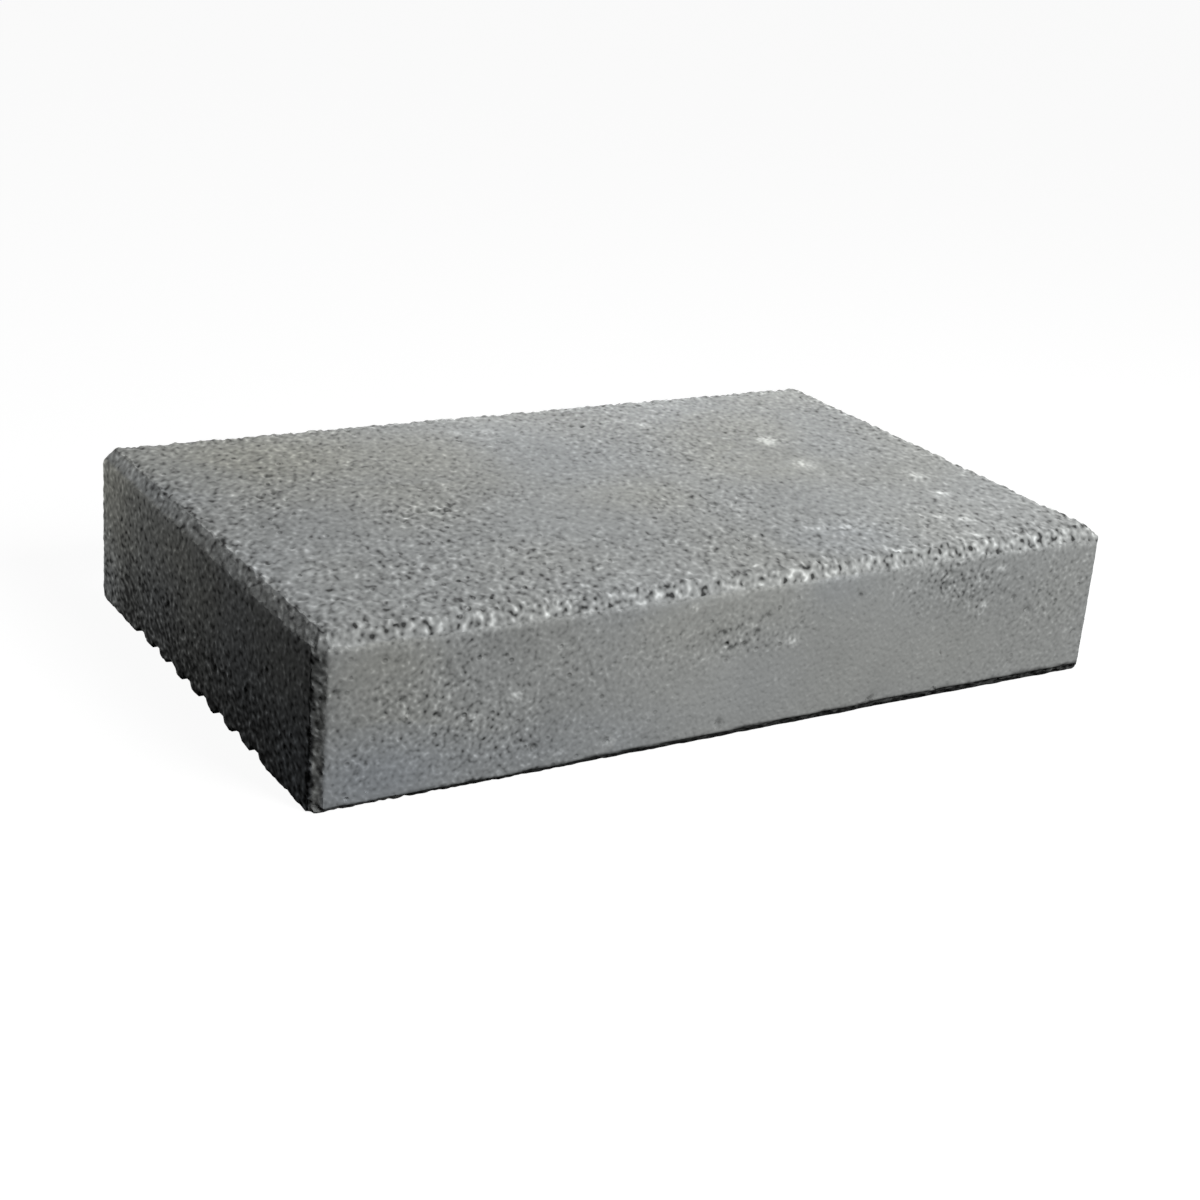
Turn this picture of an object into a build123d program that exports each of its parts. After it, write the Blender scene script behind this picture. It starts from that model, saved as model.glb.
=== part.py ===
from build123d import *
import os

os.makedirs("parts", exist_ok=True)

# A precast concrete coping stone. X runs along the wall, Y across it and Z
# up. The origin is at the middle of the bed, on the level of the two plain
# lands that the stone is laid on. All dimensions are in millimetres.

# Driving dimensions
length = 406.4          # along the wall, one 16 inch module
depth = 254.0           # across the wall, 10 inches
height = 76.2           # 3 inches
top_chamfer = 6.0       # 45 degree chamfer round the top face
corner_chamfer = 5.0    # 45 degree chamfer on the four upright corners
bed_ease = 3.0          # 45 degree eased arris along the front and back of the bed

# Key grooves in the bed, side by side along the stone's whole length
groove_count = 8
groove_pitch = 19.5
groove_mouth = 12.7
groove_depth = 3.5
flank_angle = 50.0      # flank of a groove, from the bed
groove_round = 2.0      # rounding of the groove's mouth and roof corners

groove_zone = groove_count * groove_pitch
land = (depth - groove_zone) / 2
rib = groove_pitch - groove_mouth
print("plain land", round(land, 1), "rib", round(rib, 1))

with BuildPart() as coping_stone:
    # The block, with its upright corners cut off
    with BuildSketch(Plane.XY):
        Rectangle(length, depth)
        chamfer(vertices(), corner_chamfer)
    extrude(amount=height)

    # Chamfer round the top face
    chamfer(faces().sort_by(Axis.Z)[-1].edges(), top_chamfer)

    # Eased arris along the front and back of the bed
    bed_edges = faces().sort_by(Axis.Z)[0].edges().filter_by(Axis.X)
    chamfer(bed_edges, bed_ease)

    # The grooves, cut from end to end
    with BuildSketch(Plane.YZ.offset(-length / 2 - 1)):
        with GridLocations(groove_pitch, 0, groove_count, 1):
            Trapezoid(groove_mouth, groove_depth, flank_angle,
                      align=(Align.CENTER, Align.MIN))
    extrude(amount=length + 2, mode=Mode.SUBTRACT)

    # Rounding of the ribs and of the groove roofs
    groove_edges = (
        edges()
        .filter_by(Axis.X)
        .filter_by_position(Axis.Y, -groove_zone / 2, groove_zone / 2)
        .filter_by_position(Axis.Z, -0.1, groove_depth + 0.1)
    )
    print("groove edges", len(groove_edges))
    fillet(groove_edges, groove_round)

coping_stone.part.label = "coping_stone"
export_step(coping_stone.part, "parts/coping_stone.step")
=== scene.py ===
import math

import bpy
import numpy as np
from mathutils import Matrix, Vector


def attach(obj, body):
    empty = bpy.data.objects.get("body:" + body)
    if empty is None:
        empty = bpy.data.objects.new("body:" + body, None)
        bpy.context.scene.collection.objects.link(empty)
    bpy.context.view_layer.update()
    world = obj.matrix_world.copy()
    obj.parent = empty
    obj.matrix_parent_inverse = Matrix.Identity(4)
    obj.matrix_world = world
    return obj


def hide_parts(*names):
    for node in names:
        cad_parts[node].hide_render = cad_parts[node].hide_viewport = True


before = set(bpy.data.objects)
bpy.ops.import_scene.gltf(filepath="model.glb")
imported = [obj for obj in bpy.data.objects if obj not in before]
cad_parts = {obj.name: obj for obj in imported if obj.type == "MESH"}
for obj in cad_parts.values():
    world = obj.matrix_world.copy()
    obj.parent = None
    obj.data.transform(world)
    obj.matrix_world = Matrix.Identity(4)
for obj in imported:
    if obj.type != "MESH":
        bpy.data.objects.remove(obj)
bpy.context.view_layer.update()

scene = bpy.context.scene
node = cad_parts["coping_stone"]

# ---------------------------------------------------------------- sizes, in metres
LENGTH, DEPTH, HEIGHT = 0.4064, 0.2540, 0.0762
HX, HY = LENGTH / 2, DEPTH / 2
TOP_CHAMFER = 0.0060
CORNER_CHAMFER = 0.0050
BED_EASE = 0.0030
GROOVE_DEPTH = 0.0035
MM = 0.001


# ---------------------------------------------------------------- seeded noise
def _hash(ix, iy, iz, seed):
    h = (
        ix.astype(np.uint32) * np.uint32(374761393)
        + iy.astype(np.uint32) * np.uint32(668265263)
        + iz.astype(np.uint32) * np.uint32(2246822519)
        + np.uint32(seed) * np.uint32(3266489917)
    )
    h ^= h >> np.uint32(15)
    h *= np.uint32(2246822519)
    h ^= h >> np.uint32(13)
    h *= np.uint32(3266489917)
    h ^= h >> np.uint32(16)
    return h.astype(np.float64) / 4294967296.0


# the noise is turned out of line with the faces, so that no rows show in it
TURN = np.array(Matrix.Rotation(0.62, 3, "X") @ Matrix.Rotation(0.48, 3, "Y") @ Matrix.Rotation(0.37, 3, "Z"))


def gradient_noise(p, size, seed):
    """Smooth noise of about -1 to 1, with features about `size` metres apart."""
    q = p @ TURN / size
    cell = np.floor(q).astype(np.int64)
    f = q - cell
    u = f * f * f * (f * (f * 6 - 15) + 10)
    total = np.zeros(len(p))
    for dx in (0, 1):
        wx = u[:, 0] if dx else 1 - u[:, 0]
        for dy in (0, 1):
            wy = u[:, 1] if dy else 1 - u[:, 1]
            for dz in (0, 1):
                wz = u[:, 2] if dz else 1 - u[:, 2]
                a = _hash(cell[:, 0] + dx, cell[:, 1] + dy, cell[:, 2] + dz, seed) * 2 * np.pi
                c = _hash(cell[:, 0] + dx, cell[:, 1] + dy, cell[:, 2] + dz, seed + 101) * 2 - 1
                s = np.sqrt(1 - c * c)
                dot = (
                    s * np.cos(a) * (f[:, 0] - dx)
                    + s * np.sin(a) * (f[:, 1] - dy)
                    + c * (f[:, 2] - dz)
                )
                total += wx * wy * wz * dot
    return total * 1.7


def grains(p, size, seed, jitter=0.9):
    """Distance to the nearest scattered grain centre, in grain sizes, to the second nearest, and a random number per grain."""
    q = p @ TURN / size
    cell = np.floor(q).astype(np.int64)
    f = q - cell
    first = np.full(len(p), 9.0)
    second = np.full(len(p), 9.0)
    chosen = np.zeros(len(p))
    for dx in (-1, 0, 1):
        for dy in (-1, 0, 1):
            for dz in (-1, 0, 1):
                ix, iy, iz = cell[:, 0] + dx, cell[:, 1] + dy, cell[:, 2] + dz
                ox = dx + 0.5 + jitter * (_hash(ix, iy, iz, seed) - 0.5) - f[:, 0]
                oy = dy + 0.5 + jitter * (_hash(ix, iy, iz, seed + 1) - 0.5) - f[:, 1]
                oz = dz + 0.5 + jitter * (_hash(ix, iy, iz, seed + 2) - 0.5) - f[:, 2]
                d = np.sqrt(ox * ox + oy * oy + oz * oz)
                near = d < first
                second = np.where(near, first, np.minimum(second, d))
                chosen = np.where(near, _hash(ix, iy, iz, seed + 3), chosen)
                first = np.where(near, d, first)
    return first, second, chosen


def smooth(low, high, x):
    t = np.clip((x - low) / (high - low), 0, 1)
    return t * t * (3 - 2 * t)


# ---------------------------------------------------------------- where on the stone a point lies
def zones(p):
    """How far a point is from each arris, and which face it is on."""
    dx = HX - np.abs(p[:, 0])
    dy = HY - np.abs(p[:, 1])
    top = HEIGHT - p[:, 2]
    bed = p[:, 2]
    side = np.minimum(dx, dy)
    s_top = np.maximum(side + top - TOP_CHAMFER, 0)          # from the chamfer round the top
    s_corner = np.maximum(dx + dy - CORNER_CHAMFER, 0)       # from the upright corners
    s_bed = np.maximum(dy + bed - BED_EASE, 0)               # from the bed's front and back arris
    s_bed_end = dx + bed                                     # from the bed's arris at the ends
    return dx, dy, top, bed, side, s_top, s_corner, s_bed, s_bed_end


def spots(u, v, places):
    """Soft spots: (u, v, width, height, strength), widths and places in millimetres."""
    total = np.zeros(len(u))
    for cu, cv, ru, rv, s in places:
        total += s * np.exp(-(((u - cu * MM) / (ru * MM)) ** 2) - (((v - cv * MM) / (rv * MM)) ** 2))
    return total


def faces(n):
    """How far each point belongs to the top, the bed, the front and back, and the ends."""
    return (
        smooth(0.80, 0.95, n[:, 2]),
        smooth(0.3, 0.6, -n[:, 2]),
        smooth(0.80, 0.95, np.abs(n[:, 1])),
        smooth(0.80, 0.95, np.abs(n[:, 0])),
    )


def arris_line(p):
    """How far up and in the bed's arris is broken away: more towards the front's right."""
    line = BED_EASE + (0.2 + 4.0 * smooth(-0.22, 0.16, p[:, 0])) * MM * (p[:, 1] < 0)
    return line + 0.5 * MM * gradient_noise(p * np.array([1, 0, 0]), 11 * MM, 24)


# Where the concrete came out of the mould more open, and where it is closed
OPEN_TOP = [
    (-98, -8, 20, 13, 1.10), (-165, 34, 18, 14, 0.50), (-150, -70, 45, 40, 0.35), (-90, -75, 40, 30, 0.35),
    (-120, 60, 30, 30, 0.20), (-70, 20, 24, 24, 0.25), (35, -45, 26, 22, 0.55), (60, 40, 22, 40, 0.30),
    (10, -85, 30, 20, 0.40), (90, -88, 40, 18, 0.35), (150, -80, 24, 30, 0.30), (55, 95, 18, 16, 0.25),
    (-30, 0, 24, 42, -0.45), (-62, -28, 14, 14, -0.25), (110, 10, 40, 60, -0.40), (165, 60, 30, 40, -0.35),
    (-140, -14, 18, 18, -0.25), (5, 70, 26, 24, -0.2), (100, -55, 30, 16, -0.25),
]
OPEN_FRONT = [
    (-150, 40, 42, 26, 0.62), (-115, 20, 40, 16, 0.48), (-8, 48, 22, 12, 0.80), (108, 60, 20, 10, 0.70),
    (126, 50, 20, 12, 0.45), (-70, 52, 22, 16, 0.15), (172, 38, 22, 24, 0.25), (22, 44, 12, 8, 0.3),
    (45, 24, 60, 18, -0.40), (90, 34, 40, 20, -0.35), (-60, 28, 26, 16, -0.15), (-168, 8, 20, 8, -0.3),
]


def openness(p, up, front_back, ends, down):
    slow = gradient_noise(p, 0.045, 15) * 0.22 + gradient_noise(p, 0.018, 16) * 0.16
    top_side = 0.52 + 0.18 * smooth(0.02, -0.12, p[:, 0]) + 0.25 * smooth(-0.085, -0.118, p[:, 1])
    top_side += spots(p[:, 0], p[:, 1], OPEN_TOP)
    front_side = 0.34 + 0.16 * smooth(-0.03, -0.14, p[:, 0])
    front_side += spots(p[:, 0], p[:, 2], OPEN_FRONT) * (p[:, 1] < 0)
    end_side = np.where(p[:, 0] < 0, 0.20 + 0.58 * smooth(0.052, 0.015, p[:, 2]), 0.42)
    value = up * top_side + front_back * front_side + ends * end_side + down * 0.7
    value += (1 - np.clip(up + front_back + ends + down, 0, 1)) * 0.9
    return np.clip(value + slow, 0.02, 1.50)


# Single pits and nicks, painted darker inside as shade in the hollow: place on the face, radius and depth in
# millimetres
PITS_TOP = [
    (-145.6, 60.4, 1.5, 1.1), (37.4, -38.1, 1.7, 1.3), (57.9, 47.6, 1.4, 1.0), (23.3, 47.6, 1.4, 1.0),
    (64.3, 117.0, 1.5, 1.0), (90.0, 113.0, 1.4, 1.0), (33.6, 91.0, 1.4, 1.0), (39.0, 88.0, 1.1, 0.8),
    (157.7, 97.6, 1.5, 1.0), (63.0, 23.3, 1.4, 1.0), (168.0, 10.5, 1.6, 1.2), (127.0, -36.8, 1.5, 1.1),
    (57.9, -30.4, 1.3, 1.0), (43.8, -24.0, 1.3, 1.0), (28.5, -109.8, 1.5, 1.1), (40.0, -112.0, 1.3, 1.0),
    (22.0, -82.9, 1.3, 0.9), (-108.0, -9.0, 1.3, 1.0), (-101.0, -6.0, 1.4, 1.1), (-94.0, -4.0, 1.3, 1.0),
    (-89.0, -9.0, 1.2, 0.9), (-113.0, -15.0, 1.2, 0.9), (-84.0, -3.0, 1.2, 0.9), (-160.0, 33.0, 1.4, 1.0),
    (-152.0, 38.0, 1.2, 0.9), (-186.0, 5.0, 1.3, 0.9), (-44.0, -33.0, 1.3, 0.9), (-40.0, -60.0, 1.2, 0.8),
    (-57.0, -55.0, 1.1, 0.8), (10.0, -55.0, 1.2, 0.9), (-18.0, -42.0, 1.1, 0.8), (74.0, 60.0, 1.2, 0.9),
    (84.0, 33.0, 1.1, 0.8), (140.0, -68.0, 1.2, 0.9), (112.0, -96.0, 1.2, 0.9),
]
PITS_FRONT = [
    (159.3, 39.2, 1.5, 1.2), (-104.5, 13.7, 1.5, 1.2), (-12.0, 9.2, 1.4, 1.0), (106.3, 58.7, 1.5, 1.1),
    (-194.5, 52.5, 1.2, 0.9), (-14.0, 52.0, 1.2, 1.0), (-3.0, 45.0, 1.4, 1.1), (3.0, 50.0, 1.2, 0.9),
    (-10.0, 44.0, 1.1, 0.9), (8.0, 57.0, 1.1, 0.9), (117.0, 60.0, 1.1, 0.9), (124.0, 50.0, 1.2, 0.9),
    (-166.0, 45.0, 1.1, 0.8), (-150.0, 36.0, 1.2, 0.9), (-143.0, 47.0, 1.1, 0.8), (-136.0, 30.0, 1.1, 0.8),
    (71.0, 8.0, 1.3, 0.9), (-69.0, 11.0, 1.2, 0.9), (58.0, 60.0, 1.0, 0.8), (150.0, 47.0, 1.2, 0.9),
]
PITS_END = [
    (48.0, 52.0, 1.2, 0.8), (33.0, 30.0, 1.4, 1.0), (70.0, 28.0, 1.1, 0.8), (14.0, 24.0, 1.5, 1.1),
    (12.0, 48.0, 1.0, 0.7), (-24.0, 22.0, 1.2, 0.8), (-58.0, 26.0, 1.3, 0.9), (-80.0, 44.0, 1.0, 0.7),
]


def pit_shape(u, v, mask, places):
    """Depth of the single pits on one face, and their darkness, which is painted shade in the hollows."""
    depth = np.zeros(len(u))
    dark = np.zeros(len(u))
    for k, (cu, cv, r, deep) in enumerate(places):
        lean = 0.6 + 0.8 * ((k * 0.37) % 1)                  # no two alike: long one way, short the other
        turn = k * 2.4
        du, dv = u - cu * MM, v - cv * MM
        a = (du * math.cos(turn) + dv * math.sin(turn)) / (r * MM * (0.8 + 0.5 * lean))
        b = (-du * math.sin(turn) + dv * math.cos(turn)) / (r * MM * (1.3 - 0.4 * lean))
        q = a * a + b * b
        depth = np.maximum(depth, deep * MM * np.exp(-q * 0.9))
        dark = np.maximum(dark, np.exp(-q * 0.8))
    return depth * mask, dark * mask


def pits(p, up, front_back, ends):
    d1, k1 = pit_shape(p[:, 0], p[:, 1], up, PITS_TOP)
    d2, k2 = pit_shape(p[:, 0], p[:, 2], front_back * (p[:, 1] < 0), PITS_FRONT)
    d3, k3 = pit_shape(p[:, 1], p[:, 2], ends * (p[:, 0] < 0), PITS_END)
    d4, k4 = pit_shape(-p[:, 0], p[:, 2], front_back * (p[:, 1] > 0), PITS_FRONT)
    d5, k5 = pit_shape(-p[:, 1], p[:, 2], ends * (p[:, 0] > 0), PITS_END)
    return d1 + d2 + d3 + d4 + d5, np.clip(k1 + k2 + k3 + k4 + k5, 0, 1)


# ---------------------------------------------------------------- the cast body as a fine mesh
def evaluated(obj):
    dg = bpy.context.evaluated_depsgraph_get()
    dg.update()
    return bpy.data.meshes.new_from_object(obj.evaluated_get(dg))


def coords(mesh):
    a = np.empty(len(mesh.vertices) * 3)
    mesh.vertices.foreach_get("co", a)
    return a.reshape(-1, 3)


def normals(mesh):
    a = np.empty(len(mesh.vertices) * 3)
    mesh.vertices.foreach_get("normal", a)
    return a.reshape(-1, 3)


VOXEL = 0.0009
# the grain of the top and ends is drawn out on a slant across the stone
DRAWN = 1.75
SLANT = math.radians(30)
TRIANGLES = 197000

body = bpy.data.objects.new("fine_body", node.data.copy())
scene.collection.objects.link(body)
weld = body.modifiers.new("weld", "WELD")
weld.merge_threshold = 1e-6
remesh = body.modifiers.new("remesh", "REMESH")
remesh.mode = "VOXEL"
remesh.voxel_size = VOXEL
remesh.adaptivity = 0
fine = evaluated(body)
body.modifiers.clear()
body.data = fine

p = coords(fine)
n = normals(fine)
dx, dy, top, bed, side, s_top, s_corner, s_bed, s_bed_end = zones(p)
up, down, front_back, ends = faces(n)
opened = openness(p, up, front_back, ends, down)

# Rough, open arrises: strongest on the chamfers and upright corners, fading
# over several millimetres into the top and quickly into the moulded sides
below = np.maximum(front_back, ends)
chamfer = np.exp(-((s_top / ((2.4 - 1.5 * below) * MM)) ** 2)) * (1 - 0.6 * below)
chamfer_far = np.exp(-((s_top / (8.0 * MM)) ** 2)) * up
corner = np.exp(-((s_corner / (3.0 * MM)) ** 2)) * (1 - 0.85 * front_back)
bed_arris = np.maximum(
    np.exp(-((s_bed / (1.6 * MM)) ** 2)), np.exp(-((s_bed_end / (1.8 * MM)) ** 2))
) * (1 - 0.7 * front_back)
open_grain = np.clip(chamfer + 0.40 * chamfer_far + 0.55 * corner + 0.5 * bed_arris, 0, 1)
# the left end's top arris came out closer than the others
close_left_and_painted_light = smooth(9 * MM, 4 * MM, dx) * (p[:, 0] < 0) * smooth(-0.122, -0.108, p[:, 1])
open_grain = open_grain * (1 - 0.55 * close_left_and_painted_light)

# Grain of the concrete: stones of 3 to 5 mm under the skin, some of them lost
slant = np.array([math.sin(SLANT), math.cos(SLANT), 0])
across = p - np.outer(p @ slant, slant) * (1 - 1 / DRAWN)
f1, f2, grain_id = grains(across, 2.8 * MM, 11)
lump = gradient_noise(across, 3.2 * MM, 12)
lump_fine = gradient_noise(across, 2.3 * MM, 13)
crown = np.clip(f1 * f1 * 1.4, 0, 1)                        # 0 on a grain's crown, 1 between grains
lost = smooth(0.34, 0.22, grain_id) * (1 - smooth(0.35, 0.75, f1))

skin = (0.05 + 0.26 * opened) * (1.30 * up + 0.30 * front_back + 1.1 * ends + 0.9 * down)
faces_relief = skin * (0.55 + 0.75 * lump + 0.60 * lump_fine)
arris_relief = open_grain * (
    0.30 + 0.35 * crown + 0.60 * lost + 0.65 * lump + 0.65 * lump_fine
)
relief = np.maximum(faces_relief, 0) + np.maximum(arris_relief, 0) * 0.75

# Slow unevenness of the cast faces
wave = (
    0.14 * (gradient_noise(p, 0.055, 5) + 1)
    + 0.08 * (gradient_noise(p, 0.016, 6) + 1)
) * (1 - 0.7 * down)

# Blow holes scattered over every face
h1, h2, hole_id = grains(p, 7.0 * MM, 71)
hole_size = 0.12 + 0.14 * (hole_id * 7.3 % 1)
holes = (1 - smooth(0.3 * hole_size, hole_size, h1)) * (hole_id < 0.06 + 0.34 * opened + 0.1 * down)
pit_depth, pit_painted_shade = pits(p, up, front_back, ends)

# Arrises worn back unevenly, with a few larger bites
bites = smooth(0.15, 0.75, gradient_noise(p, 7.5 * MM, 21)) + 0.8 * smooth(0.3, 0.8, gradient_noise(p, 3.6 * MM, 22))
low_edge = np.exp(-(((top - TOP_CHAMFER) / (1.3 * MM)) ** 2) - ((side / (1.1 * MM)) ** 2))
high_edge = np.exp(-((top / (1.1 * MM)) ** 2) - ((s_top / (1.2 * MM)) ** 2))
wear = (
    low_edge * (0.08 + 0.30 * bites)
    + high_edge * (0.10 + 0.40 * bites)
    + corner * (1 - front_back) * 0.15 * bites
    + bed_arris * (0.05 + 0.35 * bites)
)
# the right end's top arris is the most worn, towards the front corner
right_wear = smooth(0.02, -0.12, p[:, 1]) * (p[:, 0] > 0) * np.exp(-(((side + top - 2 * MM) / (4.5 * MM)) ** 2)) * (dx < 12 * MM)
wear = wear + right_wear * (0.5 + 0.8 * bites)

inward = (relief + wave + 0.75 * holes + wear) * MM + pit_depth
moved = p - n * inward[:, None]

# The front's bed arris is broken away more towards the right
outside = np.clip(arris_line(p) - (HY - np.abs(moved[:, 1])) - moved[:, 2], 0, None) * (s_bed < 6 * MM)
cut = outside * (0.5 + 0.15 * lump)
moved[:, 1] -= np.sign(p[:, 1]) * cut
moved[:, 2] += cut

# The far left corner of the top is broken off a little more widely
gone = np.clip(13 * MM - (HX + moved[:, 0]) - (HY - moved[:, 1]) - (HEIGHT - moved[:, 2]), 0, None) / 3
moved += (0.85 * gone)[:, None] * np.array([1, -1, -1])

moved[:, 0] = np.clip(moved[:, 0], -HX, HX)
moved[:, 1] = np.clip(moved[:, 1], -HY, HY)
moved[:, 2] = np.clip(moved[:, 2], 0, HEIGHT)
fine.vertices.foreach_set("co", moved.ravel())
fine.update()

# Fewer triangles where the eye never gets close: the bed and the back
keep = (
    0.46 * up + 0.42 * front_back * (p[:, 1] < 0) + 0.22 * front_back * (p[:, 1] > 0)
    + 0.42 * ends * (p[:, 0] < 0) + 0.26 * ends * (p[:, 0] > 0) + 0.01 * down
    + 0.9 * open_grain * (1 - 0.8 * down) + 0.6 * (pit_painted_shade > 0.15) + 0.15 * opened * (1 - down)
    + 0.8 * (s_bed < 5 * MM) * (p[:, 1] < 0) * (bed < 9 * MM) * (dy < 9 * MM)
)
keep = np.clip(keep, 0, 1)
group = body.vertex_groups.new(name="thin_out")
weights = np.clip(1.0 - 0.93 * keep, 0.04, 1)
steps = np.round(weights * 16).astype(int)
for k in range(0, 17):
    chosen = np.nonzero(steps == k)[0]
    if len(chosen):
        group.add(chosen.tolist(), k / 16, "REPLACE")
count = sum(len(q.vertices) - 2 for q in fine.polygons)
thin = body.modifiers.new("thin", "DECIMATE")
thin.decimate_type = "COLLAPSE"
thin.ratio = min(1.0, TRIANGLES / count)
thin.vertex_group = "thin_out"
thin.vertex_group_factor = 1.0
thin.use_collapse_triangulate = True
final = evaluated(body)
body.modifiers.clear()
body.vertex_groups.clear()

stone = bpy.data.objects.new("coping_stone_cast", final)
scene.collection.objects.link(stone)
bpy.data.objects.remove(body)
final.name = "coping_stone_cast"
final.polygons.foreach_set("use_smooth", np.ones(len(final.polygons), dtype=bool))
print("triangles", count, "->", len(final.polygons))

# the bed's arris along the front and the left end's top arris keep crisp edges
centre = np.empty(len(final.polygons) * 3)
final.polygons.foreach_get("center", centre)
centre = centre.reshape(-1, 3)
near_arris = (centre[:, 2] < 8 * MM) & (HY + centre[:, 1] < 8 * MM) & (centre[:, 2] > 0.2 * MM)
centre_side = np.minimum(HX - np.abs(centre[:, 0]), HY - np.abs(centre[:, 1]))
near_arris |= (centre[:, 0] < 9 * MM - HX) & (centre_side + HEIGHT - centre[:, 2] < TOP_CHAMFER + 1.4 * MM)
final.polygons.foreach_set("use_smooth", ~near_arris)

# Where each kind of surface is, kept on the mesh for the material
p = coords(final)
n = normals(final)
dx, dy, top, bed, side, s_top, s_corner, s_bed, s_bed_end = zones(p)
s_top = np.maximum(s_top - 0.8 * MM, 0)
s_corner = np.maximum(s_corner - 0.8 * MM, 0)
# which face, by place, because the relief tilts the normals
up = smooth(1.6 * MM, 0.8 * MM, top)
down = smooth(5.0 * MM, 1.5 * MM, bed) * smooth(1.0 * MM, 3.0 * MM, side)
front_back = smooth(1.6 * MM, 0.8 * MM, dy)
ends = smooth(1.6 * MM, 0.8 * MM, dx) * (1 - front_back)
opened = openness(p, up, front_back, ends, down)
pit_depth, pit_painted_shade = pits(p, up, front_back, ends)
below = np.maximum(front_back, ends)
rough_zone = np.clip(
    np.exp(-((s_top / ((2.2 - 1.4 * below) * MM)) ** 2)) * (1 - 0.6 * below)
    + 0.40 * np.exp(-((s_top / (8.0 * MM)) ** 2)) * up
    + 0.9 * np.exp(-((s_corner / (3.0 * MM)) ** 2)) * (1 - 0.9 * front_back),
    0, 1,
)

# the left end's closer top arris, which is also painted paler further down as light
close_left_and_painted_light = smooth(9 * MM, 4 * MM, dx) * (p[:, 0] < 0) * smooth(-0.122, -0.108, p[:, 1])
left = ends * (p[:, 0] < 0)
arris = 1 - np.clip(up + front_back + ends + down, 0, 1)
# contrast of the grain, and how far it stands proud
speckle_gain = (
    up * (0.62 + 0.95 * opened) + front_back * np.clip(1.55 * opened - 0.14, 0.22, 2) + left * (1.45 + 1.8 * opened) + (ends - left) * (0.45 + 0.95 * opened)
    + 0.9 * down + arris * (1.45 - 0.15 * close_left_and_painted_light) + 1.25 * rough_zone * (1 - 0.15 * close_left_and_painted_light)
)
relief_gain = 0.12 * up + 0.45 * front_back + 1.1 * left + 0.35 * (ends - left) + 0.6 * down + 0.9 * arris

# Slow drifts of colour and depth of tone, and the light and shade painted into the tone
WARM_TOP = [(-140, 85, 60, 45, 1.1), (-60, 60, 40, 40, 0.5), (120, 70, 45, 40, 0.45), (95, 10, 30, 24, 0.4), (20, -20, 22, 20, 0.3)]
COOL_TOP = [(-185, -60, 40, 45, 0.30), (60, -100, 50, 20, 0.35), (-10, 20, 40, 40, 0.2)]
WARM_FRONT = [(-170, 62, 30, 14, 0.5), (60, 62, 50, 12, 0.2), (-40, 62, 50, 14, 0.35)]
COOL_FRONT = [(-178, 12, 42, 22, 1.0), (-100, 10, 50, 14, 0.5), (45, 66, 24, 14, 0.4)]
WARM_END = [(95, 55, 44, 30, 1.3), (30, 60, 50, 18, 0.6)]
COOL_END = [(-115, 10, 34, 28, 1.2), (-20, 30, 60, 18, 0.25)]
front = front_back * (p[:, 1] < 0)
drift = gradient_noise(p, 0.06, 8) * 0.35
warm = up * spots(p[:, 0], p[:, 1], WARM_TOP) + front * spots(p[:, 0], p[:, 2], WARM_FRONT) + left * spots(p[:, 1], p[:, 2], WARM_END)
cool = up * spots(p[:, 0], p[:, 1], COOL_TOP) + front * spots(p[:, 0], p[:, 2], COOL_FRONT) + left * spots(p[:, 1], p[:, 2], COOL_END)
warm = np.clip(warm + drift * (warm < 0.3), 0, 1)
cool = np.clip(cool - drift * (cool < 0.3), 0, 1)

# Pale lime bloom in small soft patches, mostly to the right of the top
BLOOM_TOP = [
    (122, 40, 5, 6.5, 0.75), (117, 0, 5, 6.5, 0.65), (162, -32, 5.5, 6, 0.55), (157, -60, 3.0, 3.4, 0.9),
    (152, -62, 1.6, 1.6, 0.8), (72, 81, 2.4, 3, 0.9), (-29, 96, 2.2, 3, 0.6), (-14, 94, 3.5, 3, 0.4),
    (66, -83, 5, 3.5, 0.5), (81, -86, 5, 3.5, 0.6), (142, -94, 4.5, 3, 0.55), (132, -88, 4, 3, 0.5),
    (133, -114, 4, 2.5, 0.6), (8, -114, 2.2, 1.8, 1.2), (82, -119, 3, 2, 0.9), (-50, -103, 3, 2, 0.6),
    (-101, 69, 1.6, 2, 0.8), (118, 34, 3, 4, 0.4), (-104, -2, 1.5, 2, 0.9), (-96, -12, 1.5, 2, 1.0),
    (-90, -4, 1.4, 2, 0.8), (-110, -12, 1.4, 2, 0.7), (-84, -9, 1.3, 1.8, 0.8), (-99, 2, 1.3, 1.8, 0.7), (-170, 40, 2, 2, 0.6), (-60, -96, 2, 2, 0.5),
]
BLOOM_FRONT = [
    (-114.5, 38.7, 2.4, 1.4, 1.0), (23, 43.7, 3.2, 1.4, 0.9), (-67, 10.7, 1.6, 1.4, 1.0), (-133, 32, 1.8, 1.4, 0.8),
    (132, 46, 2.0, 1.4, 0.7), (-92, 10, 2, 1.2, 0.6), (-30, 66, 2, 1.2, 0.6), (140, 63, 2.4, 1.4, 0.6),
]
bloom = up * spots(p[:, 0], p[:, 1], BLOOM_TOP) + front * spots(p[:, 0], p[:, 2], BLOOM_FRONT)
# and single pale grains up the near corner
near_corner = (p[:, 0] < 0) * (p[:, 1] < 0) * (s_corner < 2 * MM) * (front_back < 0.5) * (top > 6 * MM)
for height, strength in ((4, 0.9), (9, 0.8), (13, 0.7), (21, 0.6), (27, 0.4), (36, 0.5), (47, 0.4), (58, 0.6)):
    bloom = bloom + near_corner * strength * np.exp(-(((bed - height * MM) / (1.3 * MM)) ** 2) - (((dx - (2.5 + height % 3) * MM) / (1.2 * MM)) ** 2))
bloom = np.clip(bloom, 0, 1)

# tone and painted light: the top is painted darker to its left and paler at its front right, and the front paler at
# its left middle and darker to its right, standing in for how light falls across them; the other spots are tone that
# differs from place to place
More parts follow.
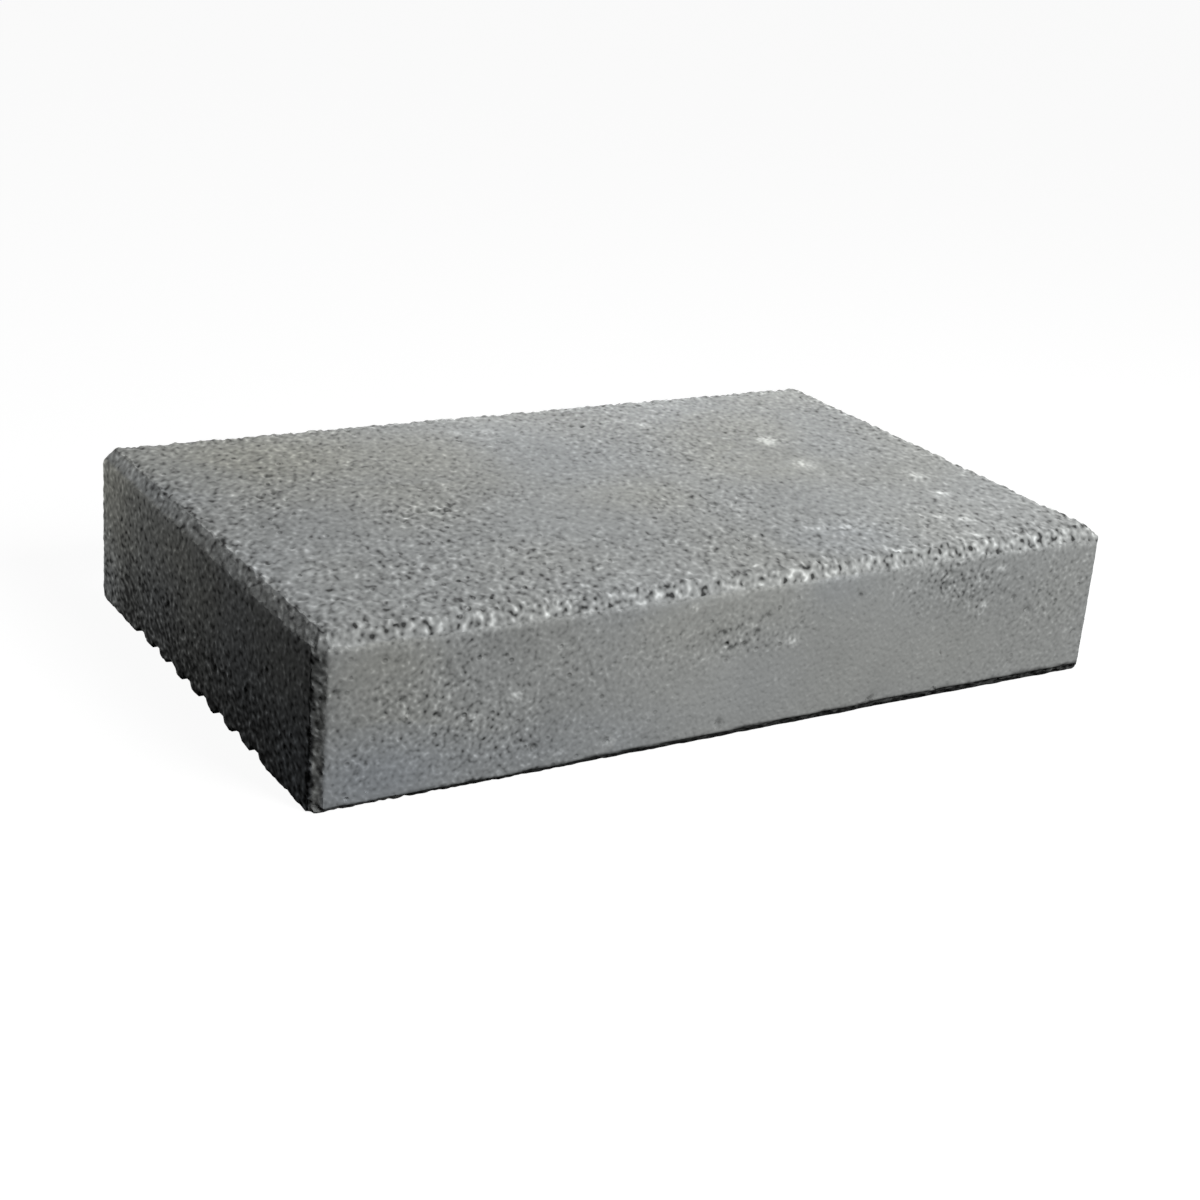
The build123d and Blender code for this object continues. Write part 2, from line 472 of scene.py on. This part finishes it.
TONE_AND_PAINTED_LIGHT_TOP = [(-170, 30, 45, 60, -0.09), (-95, 45, 40, 45, -0.07), (150, -95, 45, 30, 0.07), (0, -70, 50, 30, -0.05)]
TONE_AND_PAINTED_LIGHT_FRONT = [(-20, 30, 45, 40, 0.08), (150, 35, 70, 50, -0.07), (-8, 50, 24, 12, -0.10), (112, 58, 28, 12, -0.10), (-130, 64, 60, 8, -0.06)]
tone_and_painted_light = 1 + 0.05 * gradient_noise(p, 0.05, 9) + 0.03 * gradient_noise(p, 0.02, 10)
# painted light and shade: the left end is painted lighter near its top and darker towards the bed, where light from
# above falls off, least so at its far and near edges
middle = 1 - 0.75 * smooth(0.085, 0.112, p[:, 1]) - 0.35 * smooth(-0.070, -0.100, p[:, 1])
tone_and_painted_light = tone_and_painted_light + left * (0.16 * smooth(0.045, 0.070, bed) - 0.48 * smooth(0.052, 0.012, bed) * middle)
# painted light: the left end is paler towards its far edge, where light from behind falls on it
tone_and_painted_light = tone_and_painted_light + left * 0.20 * smooth(0.080, 0.110, p[:, 1])
# painted light: the left end's top chamfer is painted paler, standing in for light from above falling on it
tone_and_painted_light = tone_and_painted_light + 0.22 * close_left_and_painted_light * arris * smooth(1.0 * MM, 3.0 * MM, top)
tone_and_painted_light = tone_and_painted_light + up * spots(p[:, 0], p[:, 1], TONE_AND_PAINTED_LIGHT_TOP) + front * spots(p[:, 0], p[:, 2], TONE_AND_PAINTED_LIGHT_FRONT)
# and the bed's front arris is painted dark, as shade under the stone's bottom edge
painted_arris_shade = smooth(0.9 * MM, 0.3 * MM, dy + bed - arris_line(p)) * (p[:, 1] < 0)
tone_and_painted_light = tone_and_painted_light * (1 - 0.60 * painted_arris_shade * (dx > 5 * MM))
# painted light and shade: the left end is paler along its far corner, a painted rim of light, and darker at the
# foot, painted shade
tone_and_painted_light = tone_and_painted_light + left * (0.45 * smooth(3.0 * MM, 0.8 * MM, s_corner) * (p[:, 1] > 0) - 0.10 * smooth(0.020, 0.004, bed))

for name, values in (
    ("rough_zone", rough_zone), ("opened", opened), ("fine_face", front_back), ("speckle_gain", speckle_gain),
    ("relief_gain", relief_gain), ("warm", warm), ("cool", cool),
    ("bloom", bloom), ("pit", pit_painted_shade), ("tone_and_painted_light", tone_and_painted_light),
):
    layer = final.attributes.new(name, "FLOAT", "POINT")
    layer.data.foreach_set("value", values.astype(np.float32))


# ---------------------------------------------------------------- concrete
def concrete():
    m = bpy.data.materials.new("grey_concrete")
    m.use_nodes = True
    nt = m.node_tree
    nt.nodes.clear()
    N, Lk = nt.nodes, nt.links

    def math_node(op, a, b=None, c=None, clamp=False):
        k = N.new("ShaderNodeMath")
        k.operation = op
        k.use_clamp = clamp
        for i, v in enumerate((a, b, c)):
            if v is None:
                continue
            if isinstance(v, (int, float)):
                k.inputs[i].default_value = v
            else:
                Lk.new(v, k.inputs[i])
        return k.outputs[0]

    def ramp(value, low, high, out_low=0.0, out_high=1.0, kind="SMOOTHSTEP"):
        k = N.new("ShaderNodeMapRange")
        k.interpolation_type = kind
        k.clamp = True
        Lk.new(value, k.inputs["Value"])
        k.inputs["From Min"].default_value = low
        k.inputs["From Max"].default_value = high
        k.inputs["To Min"].default_value = out_low
        k.inputs["To Max"].default_value = out_high
        return k.outputs["Result"]

    def moved_coord(offset, along=1.0):
        mp = N.new("ShaderNodeMapping")
        mp.inputs["Scale"].default_value = (1, 1 / along, 1)
        mp.inputs["Location"].default_value = offset
        mp.inputs["Rotation"].default_value = (0.52 + offset[0] * 0.1, 0.71, 0.33 + offset[1] * 0.1)
        Lk.new(slanted if along != 1 else coord, mp.inputs["Vector"])
        return mp.outputs[0]

    def noise(scale, detail=2.0, rough=0.5, offset=(0, 0, 0), along=1.0):
        k = N.new("ShaderNodeTexNoise")
        k.inputs["Scale"].default_value = scale
        k.inputs["Detail"].default_value = detail
        k.inputs["Roughness"].default_value = rough
        Lk.new(moved_coord(offset, along), k.inputs["Vector"])
        return math_node("SUBTRACT", k.outputs["Fac"], 0.5)

    def voronoi(scale, feature="F1", offset=(0, 0, 0), randomness=1.0, along=1.0):
        k = N.new("ShaderNodeTexVoronoi")
        k.feature = feature
        k.inputs["Scale"].default_value = scale
        k.inputs["Randomness"].default_value = randomness
        Lk.new(moved_coord(offset, along), k.inputs["Vector"])
        return k

    def split(colour):
        k = N.new("ShaderNodeSeparateColor")
        Lk.new(colour, k.inputs[0])
        return k.outputs

    def mix_colour(fac, a, b, blend="MIX"):
        k = N.new("ShaderNodeMix")
        k.data_type = "RGBA"
        k.blend_type = blend
        for sock, v in ((k.inputs[0], fac), (k.inputs[6], a), (k.inputs[7], b)):
            if isinstance(v, (int, float)):
                sock.default_value = v
            elif isinstance(v, tuple):
                sock.default_value = v
            else:
                Lk.new(v, sock)
        return k.outputs[2]

    def attribute(name):
        k = N.new("ShaderNodeAttribute")
        k.attribute_name = name
        return k.outputs["Fac"]

    tc = N.new("ShaderNodeTexCoord")
    coord = tc.outputs["Object"]
    turn = N.new("ShaderNodeMapping")
    turn.inputs["Rotation"].default_value = (0, 0, SLANT)
    Lk.new(coord, turn.inputs["Vector"])
    slanted = turn.outputs[0]
    rough_zone = attribute("rough_zone")
    opened = attribute("opened")

    # stones and sand of 2 to 5 mm showing through the skin, finer on the
    # front and back, where the mould face drew the paste out
    fine_face = attribute("fine_face")
    cell = voronoi(230, offset=(9, 2, 6), along=DRAWN)
    cell_id = split(cell.outputs["Color"])
    sand = noise(1000, 0.0, 0.5, (4, 4, 4))

    def blend(a, b, fac):
        k = N.new("ShaderNodeMix")
        k.data_type = "FLOAT"
        Lk.new(fac, k.inputs[0])
        Lk.new(a, k.inputs[2])
        Lk.new(b, k.inputs[3])
        return k.outputs[0]

    pebble = blend(noise(385, 0.0, along=DRAWN), noise(450, 0.0), fine_face)
    pebble_small = blend(noise(520, 0.0, 0.5, (3, 1, 2), DRAWN), noise(590, 0.0, 0.5, (3, 1, 2)), fine_face)
    pebble_big = noise(220, 0.0, 0.5, (5, 2, 8), DRAWN)

    mottle = math_node("MULTIPLY", pebble, 0.72)
    mottle = math_node("MULTIPLY_ADD", pebble_small, 0.45, mottle)
    mottle = math_node("MULTIPLY_ADD", pebble_big, 0.10, mottle)
    # steeper towards the extremes, so that single grains stand out
    peaks = math_node("MULTIPLY_ADD", math_node("ABSOLUTE", mottle), 3.0, 0.70)
    mottle = math_node("MULTIPLY", mottle, peaks)

    speckle = math_node("MULTIPLY", mottle, attribute("speckle_gain"))

    # this attribute holds the stone's tone and the light and shade painted into it
    value = math_node("MULTIPLY_ADD", noise(16, 2, 0.5), 0.12, attribute("tone_and_painted_light"))
    value = math_node("MULTIPLY_ADD", noise(60, 2, 0.5, (1, 8, 2)), 0.09, value)
    value = math_node("ADD", speckle, value)
    value = math_node("MULTIPLY_ADD", sand, 0.08, value)
    # pores, painted dark as shade in their hollows, more of them where the skin is open
    pore = ramp(cell.outputs["Distance"], 0.12, 0.34, 1.0, 0.0)
    pore = math_node("MULTIPLY", pore, ramp(cell_id[0], 0.80, 0.88))
    pore = math_node("MULTIPLY", pore, math_node("MULTIPLY_ADD", opened, 0.9, 0.1))
    value = math_node("MULTIPLY_ADD", pore, -0.34, value)
    # pale specks of lime and quartz, most of them on the open arrises
    speck = ramp(cell.outputs["Distance"], 0.12, 0.34, 1.0, 0.0)
    speck = math_node("MULTIPLY", speck, ramp(cell_id[1], 0.88, 0.93))
    speck = math_node("MULTIPLY", speck, math_node("MULTIPLY_ADD", rough_zone, 0.70, 0.22))
    value = math_node("MULTIPLY_ADD", speck, 0.75, value)
    # the placed pits, painted dark as shade in their hollows, and the lime bloom
    value = math_node("MULTIPLY_ADD", attribute("pit"), -0.45, value)
    bloom = math_node("MULTIPLY", attribute("bloom"), math_node("MULTIPLY_ADD", pebble_small, 2.2, 0.9))
    value = math_node("MULTIPLY_ADD", bloom, 1.40, value)
    value = math_node("MAXIMUM", value, 0.15)

    tint = mix_colour(attribute("warm"), (0.3400, 0.3500, 0.3437, 1), (0.3480, 0.3500, 0.3160, 1))
    tint = mix_colour(attribute("cool"), tint, (0.3285, 0.3500, 0.3700, 1))
    grey = N.new("ShaderNodeVectorMath")
    grey.operation = "SCALE"
    Lk.new(tint, grey.inputs[0])
    Lk.new(value, grey.inputs["Scale"])

    shader = N.new("ShaderNodeBsdfPrincipled")
    Lk.new(grey.outputs[0], shader.inputs["Base Color"])
    shader.inputs["Specular IOR Level"].default_value = 0.25
    Lk.new(math_node("MULTIPLY_ADD", pebble, 0.25, 0.88), shader.inputs["Roughness"])

    # relief finer than the mesh: the same stones and pores stand proud or sit low
    height = math_node("MULTIPLY", mottle, attribute("relief_gain"))
    height = math_node("MULTIPLY_ADD", sand, 0.02, height)
    height = math_node("MULTIPLY_ADD", pore, -0.8, height)
    height = math_node("MULTIPLY_ADD", speck, 0.3, height)
    bump = N.new("ShaderNodeBump")
    bump.inputs["Strength"].default_value = 1.0
    bump.inputs["Distance"].default_value = 0.0005
    Lk.new(height, bump.inputs["Height"])
    Lk.new(bump.outputs[0], shader.inputs["Normal"])

    out = N.new("ShaderNodeOutputMaterial")
    Lk.new(shader.outputs[0], out.inputs["Surface"])
    return m


material = concrete()
final.materials.clear()
final.materials.append(material)
node.data.materials.clear()
node.data.materials.append(material)

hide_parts("coping_stone")
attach(stone, "root")

# ---------------------------------------------------------------- floor and light
floor_mesh = bpy.data.meshes.new("floor")
floor_mesh.from_pydata([(-9, -9, 0), (9, -9, 0), (9, 9, 0), (-9, 9, 0)], [], [(0, 1, 2, 3)])
floor = bpy.data.objects.new("floor", floor_mesh)
scene.collection.objects.link(floor)
fm = bpy.data.materials.new("pale_floor")
fm.use_nodes = True
fp = fm.node_tree.nodes["Principled BSDF"]
fp.inputs["Base Color"].default_value = (0.20, 0.20, 0.20, 1)
fp.inputs["Roughness"].default_value = 1.0
fp.inputs["Specular IOR Level"].default_value = 0.0
fp.inputs["Emission Color"].default_value = (1, 1, 1, 1)
fp.inputs["Emission Strength"].default_value = 0.95
fm.cycles.emission_sampling = "NONE"
floor_mesh.materials.append(fm)
floor.visible_diffuse = False
floor.visible_glossy = False


def area_light(name, azimuth, elevation, distance, size, power):
    data = bpy.data.lights.new(name, "AREA")
    data.shape = "SQUARE"
    data.size = size
    data.energy = power
    lamp = bpy.data.objects.new(name, data)
    a, e = math.radians(azimuth), math.radians(elevation)
    d = Vector((math.sin(a) * math.cos(e), -math.cos(a) * math.cos(e), math.sin(e)))
    lamp.location = d * distance + Vector((0, 0, 0.04))
    lamp.rotation_euler = d.to_track_quat("Z", "Y").to_euler()
    scene.collection.objects.link(lamp)
    return lamp


key = area_light("key", 19, 38, 1.0, 0.6, 9.6)
right_side = area_light("right_side", 112, 10, 0.7, 0.4, 3.6)
back_low = area_light("back_low", 162, 15, 0.45, 0.25, 1.6)
back_left = area_light("back_left", 206, 24, 0.8, 0.3, 0.9)
far_left = area_light("far_left", 229, 7, 0.46, 0.1, 0.20)

# Only the key throws a shadow on the floor; the others would leave hard edges there
on_stone = bpy.data.collections.new("lit_by_side_lights")
on_stone.objects.link(stone)
for lamp in (right_side, back_low, back_left, far_left):
    lamp.light_linking.receiver_collection = on_stone

world = bpy.data.worlds.new("studio")
scene.world = world
world.use_nodes = True
world.node_tree.nodes["Background"].inputs[0].default_value = (1, 1, 1, 1)
world.node_tree.nodes["Background"].inputs[1].default_value = 0.006

scene.view_settings.view_transform = "Standard"
scene.view_settings.look = "None"

# ---------------------------------------------------------------- camera, at the photograph's angle
AZ, EL, ROLL = math.radians(-32.5949), math.radians(21.1257), math.radians(4.9022)
DIST, TX, TZ, FOCAL_PX = 2.5310, 0.0096, 0.0410, 2118.12
back = Vector((math.sin(AZ) * math.cos(EL), -math.cos(AZ) * math.cos(EL), math.sin(EL)))
right = (-back).cross(Vector((0, 0, 1))).normalized()
upward = right.cross(-back)
cam_x = right * math.cos(ROLL) + upward * math.sin(ROLL)
cam_y = -right * math.sin(ROLL) + upward * math.cos(ROLL)
place = (back * DIST + cam_x * TX + cam_y * TZ) * LENGTH
cam_data = bpy.data.cameras.new("camera")
cam_data.sensor_width = 36
cam_data.lens = FOCAL_PX / 1200 * 36
cam = bpy.data.objects.new("camera", cam_data)
scene.collection.objects.link(cam)
cam.matrix_world = Matrix((
    (cam_x.x, cam_y.x, back.x, place.x),
    (cam_x.y, cam_y.y, back.y, place.y),
    (cam_x.z, cam_y.z, back.z, place.z),
    (0, 0, 0, 1),
))
scene.camera = cam
